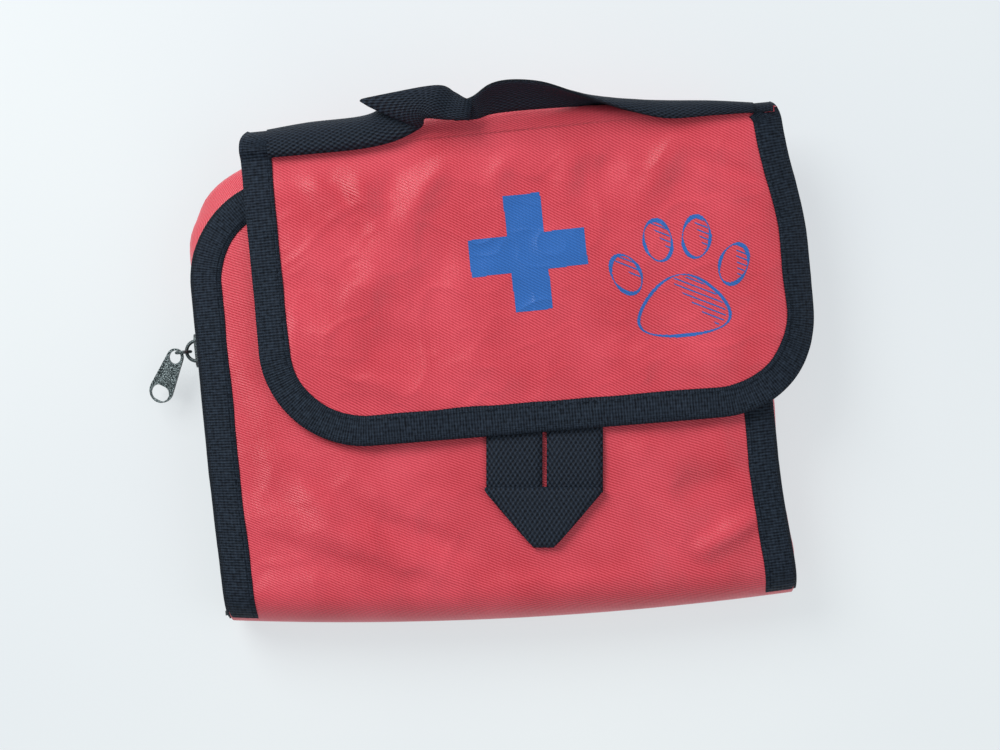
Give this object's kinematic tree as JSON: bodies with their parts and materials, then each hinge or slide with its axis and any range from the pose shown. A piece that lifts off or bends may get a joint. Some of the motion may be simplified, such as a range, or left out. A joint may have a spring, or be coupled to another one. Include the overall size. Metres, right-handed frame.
{
  "type": "first aid kit",
  "caption": "Soft red nylon first aid pouch with a bound front flap, webbing carry handle, webbing pull tab and a zipped side gusset, packed with dressings.",
  "frame": {"origin": "middle of the back panel's outer face, the face the pouch lies on", "axes": "+X across the pouch to the right as the front is seen with the handle away from the viewer, +Y towards the handle, +Z from the back panel up through the flap"},
  "size_m": [0.2956, 0.2348, 0.0625],
  "materials": {
    "red_nylon": "satin twill",
    "binding_tape": "ribbed matt",
    "black_webbing": "coarse weave",
    "black_hook_loop": "napped",
    "grey_lining": "matt",
    "blue_print": "screen print",
    "blue_bandage": "crepe",
    "white_gauze": "loose weave",
    "white_paper": "paper",
    "white_tape": "matt",
    "card": "card",
    "sachet_foil": "crinkled",
    "rescue_foil": "crinkled",
    "glove_rubber": "matt",
    "beige_plaster": "matt",
    "dark_metal": "satin enamel",
    "steel": "brushed",
    "zip_coil": "satin",
    "zip_tape": "ribbed matt"
  },
  "bodies": {
    "pouch": {"antiseptic_wipes": "sachet_foil", "back_binding_left": "binding_tape", "back_binding_right": "binding_tape", "back_panel": "red_nylon", "bottom_panel": "red_nylon", "cohesive_bandage": "blue_bandage", "foil_blanket": "rescue_foil", "front_binding": "binding_tape", "front_panel": "red_nylon", "gauze_pads": "white_paper", "gauze_roll_narrow": "white_gauze", "gauze_roll_wide": "white_gauze", "glove_pack": "glove_rubber", "inner_pocket": "grey_lining", "inner_pocket_hem": "binding_tape", "left_gusset_front_strip": "red_nylon", "left_gusset_rear_strip": "red_nylon", "left_gusset_upper": "red_nylon", "loop_patch": "black_hook_loop", "plaster_strips": "beige_plaster", "right_gusset": "red_nylon", "tape_core": "card", "tape_roll": "white_tape", "triangular_bandage": "white_gauze", "tweezers": "steel", "zipper_bottom_stop": "dark_metal", "zipper_coil_front": "zip_coil", "zipper_coil_rear": "zip_coil", "zipper_tape_front": "zip_tape", "zipper_tape_rear": "zip_tape", "zipper_top_stops": "dark_metal"},
    "lid": {"lid_panel": "red_nylon", "lid_bindings": "binding_tape", "handle_end_left": "black_webbing", "handle_end_right": "black_webbing"},
    "flap": {"flap_panel": "red_nylon", "flap_binding": "binding_tape", "cross_print": "blue_print", "paw_print": "blue_print", "hook_patch": "black_hook_loop", "pull_tab_sewn_ends": "black_webbing"},
    "tab": {"pull_tab": "black_webbing"},
    "handle": {"handle_webbing": "black_webbing"},
    "slider": {"slider_body": "dark_metal", "slider_bail": "dark_metal"},
    "ring": {"pull_ring": "dark_metal"},
    "puller": {"puller": "dark_metal"}
  },
  "joints": [
    {"name": "lid_hinge", "type": "hinge", "parent": "pouch", "child": "lid", "pos_m": [0, 0.1074, 0.00075], "axis": [-1, 0, 0], "range_deg": [0, 90]},
    {"name": "flap_fold", "type": "hinge", "parent": "lid", "child": "flap", "pos_m": [0.022, 0.0976, 0.0406], "axis": [-1, 0, 0], "range_deg": [0, 90]},
    {"name": "tab_swing", "type": "hinge", "parent": "flap", "child": "tab", "pos_m": [0.021, -0.0322, 0.03845], "axis": [-1, 0, 0], "range_deg": [0, 90]},
    {"name": "handle_swing", "type": "hinge", "parent": "lid", "child": "handle", "pos_m": [0.021, 0.1106, 0.0435], "axis": [-1, 0, 0], "range_deg": [0, 60]},
    {"name": "zip_slide", "type": "slide", "parent": "pouch", "child": "slider", "axis": [0, -1, 0], "range_m": [0, 0.1085]},
    {"name": "ring_swing", "type": "hinge", "parent": "slider", "child": "ring", "pos_m": [-0.1341, 0.02, 0.014], "axis": [0, 1, 0], "range_deg": [-22, 88]},
    {"name": "puller_swing", "type": "hinge", "parent": "ring", "child": "puller", "pos_m": [-0.13869, 0.02, 0.01277], "axis": [-0.2588, 0, 0.9659], "range_deg": [-130, 10]}
  ]
}
